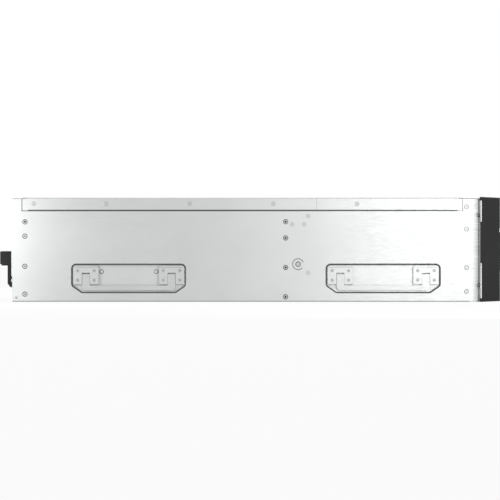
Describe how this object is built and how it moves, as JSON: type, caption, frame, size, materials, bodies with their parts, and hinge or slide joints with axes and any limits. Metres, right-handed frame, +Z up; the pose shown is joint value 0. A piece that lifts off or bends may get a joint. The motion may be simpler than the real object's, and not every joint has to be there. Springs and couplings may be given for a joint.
{
  "type": "disk shelf enclosure",
  "caption": "Rack-mount disk shelf with sliding drive carriers, folding side lift handles, pull-off end caps, rear power and interface modules",
  "frame": {"origin": "centre of the base of the whole part, on the surface it stands on", "axes": "+X to the front (end caps), +Z up, +Y to the right-hand side seen from the front"},
  "size_m": [0.8366, 0.4826, 0.1754],
  "materials": {
    "sheet_steel": "bare galvanised sheet",
    "liner_steel": "bare galvanised sheet",
    "fastener_steel": "zinc plated",
    "bail_steel": "zinc plated strap",
    "black_plastic": "moulded, fine texture",
    "carrier_body": "die cast tray with its drives",
    "board": "glass-fibre circuit board",
    "connector": "moulded connector",
    "module_steel": "bare galvanised sheet",
    "rotor": "moulded fan rotor"
  },
  "bodies": {
    "chassis": {"side_panel_left": "sheet_steel", "side_panel_right": "sheet_steel", "base_pan": "sheet_steel", "top_cover_rear": "sheet_steel", "top_cover_front": "sheet_steel", "cross_rails": "sheet_steel", "rack_ear_left": "sheet_steel", "rack_ear_right": "sheet_steel", "handle_pockets_left": "liner_steel", "handle_pockets_right": "liner_steel", "drive_cage": "liner_steel", "rear_cage": "liner_steel", "panel_screws": "fastener_steel", "rack_screws": "fastener_steel", "handle_guides": "bail_steel", "midplane_board": "board", "midplane_connectors": "connector"},
    "lift_handle_left_rear": {"lift_handle_left_rear": "bail_steel"},
    "lift_handle_left_front": {"lift_handle_left_front": "bail_steel"},
    "lift_handle_right_rear": {"lift_handle_right_rear": "bail_steel"},
    "lift_handle_right_front": {"lift_handle_right_front": "bail_steel"},
    "end_cap_left": {"end_cap_left": "black_plastic"},
    "end_cap_right": {"end_cap_right": "black_plastic"},
    "drive_carrier_1_1": {"drive_carrier_1_1": "carrier_body"},
    "drive_carrier_1_2": {"drive_carrier_1_2": "carrier_body"},
    "drive_carrier_1_3": {"drive_carrier_1_3": "carrier_body"},
    "drive_carrier_1_4": {"drive_carrier_1_4": "carrier_body"},
    "drive_carrier_1_5": {"drive_carrier_1_5": "carrier_body"},
    "drive_carrier_1_6": {"drive_carrier_1_6": "carrier_body"},
    "drive_carrier_2_1": {"drive_carrier_2_1": "carrier_body"},
    "drive_carrier_2_2": {"drive_carrier_2_2": "carrier_body"},
    "drive_carrier_2_3": {"drive_carrier_2_3": "carrier_body"},
    "drive_carrier_2_4": {"drive_carrier_2_4": "carrier_body"},
    "drive_carrier_2_5": {"drive_carrier_2_5": "carrier_body"},
    "drive_carrier_2_6": {"drive_carrier_2_6": "carrier_body"},
    "drive_carrier_3_1": {"drive_carrier_3_1": "carrier_body"},
    "drive_carrier_3_2": {"drive_carrier_3_2": "carrier_body"},
    "drive_carrier_3_3": {"drive_carrier_3_3": "carrier_body"},
    "drive_carrier_3_4": {"drive_carrier_3_4": "carrier_body"},
    "drive_carrier_3_5": {"drive_carrier_3_5": "carrier_body"},
    "drive_carrier_3_6": {"drive_carrier_3_6": "carrier_body"},
    "drive_carrier_4_1": {"drive_carrier_4_1": "carrier_body"},
    "drive_carrier_4_2": {"drive_carrier_4_2": "carrier_body"},
    "drive_carrier_4_3": {"drive_carrier_4_3": "carrier_body"},
    "drive_carrier_4_4": {"drive_carrier_4_4": "carrier_body"},
    "drive_carrier_4_5": {"drive_carrier_4_5": "carrier_body"},
    "drive_carrier_4_6": {"drive_carrier_4_6": "carrier_body"},
    "io_module_left": {"io_module_left": "module_steel"},
    "power_module_left": {"power_module_left": "module_steel"},
    "io_lever_left": {"io_lever_left": "black_plastic"},
    "power_handle_left": {"power_handle_left": "black_plastic"},
    "fan_rotor_left": {"fan_rotor_left": "rotor"},
    "io_module_right": {"io_module_right": "module_steel"},
    "power_module_right": {"power_module_right": "module_steel"},
    "io_lever_right": {"io_lever_right": "black_plastic"},
    "power_handle_right": {"power_handle_right": "black_plastic"},
    "fan_rotor_right": {"fan_rotor_right": "rotor"}
  },
  "joints": [
    {"name": "lift_handle_left_rear_swing", "type": "hinge", "parent": "chassis", "child": "lift_handle_left_rear", "pos_m": [-0.2032, -0.2173, 0.0449], "axis": [-1, 0, 0], "range_deg": [0, 90]},
    {"name": "lift_handle_left_front_swing", "type": "hinge", "parent": "chassis", "child": "lift_handle_left_front", "pos_m": [0.2231, -0.2173, 0.0449], "axis": [-1, 0, 0], "range_deg": [0, 90]},
    {"name": "lift_handle_right_rear_swing", "type": "hinge", "parent": "chassis", "child": "lift_handle_right_rear", "pos_m": [-0.2032, 0.2173, 0.0449], "axis": [1, 0, 0], "range_deg": [0, 90]},
    {"name": "lift_handle_right_front_swing", "type": "hinge", "parent": "chassis", "child": "lift_handle_right_front", "pos_m": [0.2231, 0.2173, 0.0449], "axis": [1, 0, 0], "range_deg": [0, 90]},
    {"name": "end_cap_left_pull", "type": "slide", "parent": "chassis", "child": "end_cap_left", "axis": [1, 0, 0], "range_m": [0, 0.06]},
    {"name": "end_cap_right_pull", "type": "slide", "parent": "chassis", "child": "end_cap_right", "axis": [1, 0, 0], "range_m": [0, 0.06]},
    {"name": "carrier_1_1_slide", "type": "slide", "parent": "chassis", "child": "drive_carrier_1_1", "axis": [1, 0, 0], "range_m": [0, 0.3]},
    {"name": "carrier_1_2_slide", "type": "slide", "parent": "chassis", "child": "drive_carrier_1_2", "axis": [1, 0, 0], "range_m": [0, 0.3]},
    {"name": "carrier_1_3_slide", "type": "slide", "parent": "chassis", "child": "drive_carrier_1_3", "axis": [1, 0, 0], "range_m": [0, 0.3]},
    {"name": "carrier_1_4_slide", "type": "slide", "parent": "chassis", "child": "drive_carrier_1_4", "axis": [1, 0, 0], "range_m": [0, 0.3]},
    {"name": "carrier_1_5_slide", "type": "slide", "parent": "chassis", "child": "drive_carrier_1_5", "axis": [1, 0, 0], "range_m": [0, 0.3]},
    {"name": "carrier_1_6_slide", "type": "slide", "parent": "chassis", "child": "drive_carrier_1_6", "axis": [1, 0, 0], "range_m": [0, 0.3]},
    {"name": "carrier_2_1_slide", "type": "slide", "parent": "chassis", "child": "drive_carrier_2_1", "axis": [1, 0, 0], "range_m": [0, 0.3]},
    {"name": "carrier_2_2_slide", "type": "slide", "parent": "chassis", "child": "drive_carrier_2_2", "axis": [1, 0, 0], "range_m": [0, 0.3]},
    {"name": "carrier_2_3_slide", "type": "slide", "parent": "chassis", "child": "drive_carrier_2_3", "axis": [1, 0, 0], "range_m": [0, 0.3]},
    {"name": "carrier_2_4_slide", "type": "slide", "parent": "chassis", "child": "drive_carrier_2_4", "axis": [1, 0, 0], "range_m": [0, 0.3]},
    {"name": "carrier_2_5_slide", "type": "slide", "parent": "chassis", "child": "drive_carrier_2_5", "axis": [1, 0, 0], "range_m": [0, 0.3]},
    {"name": "carrier_2_6_slide", "type": "slide", "parent": "chassis", "child": "drive_carrier_2_6", "axis": [1, 0, 0], "range_m": [0, 0.3]},
    {"name": "carrier_3_1_slide", "type": "slide", "parent": "chassis", "child": "drive_carrier_3_1", "axis": [1, 0, 0], "range_m": [0, 0.3]},
    {"name": "carrier_3_2_slide", "type": "slide", "parent": "chassis", "child": "drive_carrier_3_2", "axis": [1, 0, 0], "range_m": [0, 0.3]},
    {"name": "carrier_3_3_slide", "type": "slide", "parent": "chassis", "child": "drive_carrier_3_3", "axis": [1, 0, 0], "range_m": [0, 0.3]},
    {"name": "carrier_3_4_slide", "type": "slide", "parent": "chassis", "child": "drive_carrier_3_4", "axis": [1, 0, 0], "range_m": [0, 0.3]},
    {"name": "carrier_3_5_slide", "type": "slide", "parent": "chassis", "child": "drive_carrier_3_5", "axis": [1, 0, 0], "range_m": [0, 0.3]},
    {"name": "carrier_3_6_slide", "type": "slide", "parent": "chassis", "child": "drive_carrier_3_6", "axis": [1, 0, 0], "range_m": [0, 0.3]},
    {"name": "carrier_4_1_slide", "type": "slide", "parent": "chassis", "child": "drive_carrier_4_1", "axis": [1, 0, 0], "range_m": [0, 0.3]},
    {"name": "carrier_4_2_slide", "type": "slide", "parent": "chassis", "child": "drive_carrier_4_2", "axis": [1, 0, 0], "range_m": [0, 0.3]},
    {"name": "carrier_4_3_slide", "type": "slide", "parent": "chassis", "child": "drive_carrier_4_3", "axis": [1, 0, 0], "range_m": [0, 0.3]},
    {"name": "carrier_4_4_slide", "type": "slide", "parent": "chassis", "child": "drive_carrier_4_4", "axis": [1, 0, 0], "range_m": [0, 0.3]},
    {"name": "carrier_4_5_slide", "type": "slide", "parent": "chassis", "child": "drive_carrier_4_5", "axis": [1, 0, 0], "range_m": [0, 0.3]},
    {"name": "carrier_4_6_slide", "type": "slide", "parent": "chassis", "child": "drive_carrier_4_6", "axis": [1, 0, 0], "range_m": [0, 0.3]},
    {"name": "io_left_slide", "type": "slide", "parent": "chassis", "child": "io_module_left", "axis": [-1, 0, 0], "range_m": [0, 0.42]},
    {"name": "io_left_lever", "type": "hinge", "parent": "io_module_left", "child": "io_lever_left", "pos_m": [-0.3923, -0.2001, 0.107], "axis": [0, 0, 1], "range_deg": [0, 60]},
    {"name": "power_left_slide", "type": "slide", "parent": "chassis", "child": "power_module_left", "axis": [-1, 0, 0], "range_m": [0, 0.42]},
    {"name": "power_left_handle", "type": "hinge", "parent": "power_module_left", "child": "power_handle_left", "pos_m": [-0.40235, -0.1744, 0.029], "axis": [0, -1, 0], "range_deg": [0, 85]},
    {"name": "fan_left_spin", "type": "hinge", "parent": "power_module_left", "child": "fan_rotor_left", "pos_m": [-0.3829, -0.1051, 0.0449], "axis": [1, 0, 0], "continuous": true},
    {"name": "io_right_slide", "type": "slide", "parent": "chassis", "child": "io_module_right", "axis": [-1, 0, 0], "range_m": [0, 0.42]},
    {"name": "io_right_lever", "type": "hinge", "parent": "io_module_right", "child": "io_lever_right", "pos_m": [-0.3923, 0.2001, 0.107], "axis": [0, 0, -1], "range_deg": [0, 60]},
    {"name": "power_right_slide", "type": "slide", "parent": "chassis", "child": "power_module_right", "axis": [-1, 0, 0], "range_m": [0, 0.42]},
    {"name": "power_right_handle", "type": "hinge", "parent": "power_module_right", "child": "power_handle_right", "pos_m": [-0.40235, 0.1744, 0.029], "axis": [0, -1, 0], "range_deg": [0, 85]},
    {"name": "fan_right_spin", "type": "hinge", "parent": "power_module_right", "child": "fan_rotor_right", "pos_m": [-0.3829, 0.1051, 0.0449], "axis": [1, 0, 0], "continuous": true}
  ]
}
